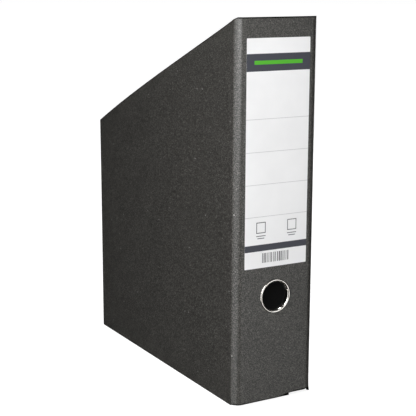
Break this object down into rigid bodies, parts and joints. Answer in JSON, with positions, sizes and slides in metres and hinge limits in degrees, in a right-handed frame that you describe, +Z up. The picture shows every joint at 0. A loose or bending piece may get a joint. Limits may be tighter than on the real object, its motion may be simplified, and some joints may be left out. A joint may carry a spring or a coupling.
{
  "type": "magazine file",
  "caption": "Slant-topped board magazine file with a closed labelled spine, a ringed finger hole, and a low front wall.",
  "frame": {"origin": "centre of the overall box in plan, on the surface that the file stands on", "axes": "+Z up along the height of the spine; -Y out of the spine and its label, +Y out of the low front wall; X across the width"},
  "size_m": [0.0876, 0.2692, 0.3285],
  "materials": {
    "board": "raw grey board, matt",
    "cover_paper": "dark grey mottled fibre paper, matt with a faint sheen",
    "lining_paper": "smooth near-black paper, matt",
    "ring_metal": "bright nickel plate on rolled sheet steel",
    "label_paper": "smooth white label paper with printed bands and rules"
  },
  "bodies": {
    "root": {"spine_board": "board", "left_side_board": "board", "right_side_board": "board", "front_board": "board", "front_lap_left": "board", "front_lap_right": "board", "base_flap_outer": "board", "base_flap_inner": "board", "cover_sheet": "cover_paper", "front_cover": "cover_paper", "base_cover_outer": "cover_paper", "base_cover_inner": "cover_paper", "spine_top_turn_in": "cover_paper", "left_slope_turn_in": "cover_paper", "right_slope_turn_in": "cover_paper", "left_front_turn_in": "cover_paper", "right_front_turn_in": "cover_paper", "front_top_turn_in": "cover_paper", "spine_lining": "lining_paper", "left_lining": "lining_paper", "right_lining": "lining_paper", "front_lining": "lining_paper", "floor_lining": "lining_paper", "finger_ring": "ring_metal", "ring_washer": "ring_metal", "spine_label": "label_paper"}
  },
  "joints": []
}
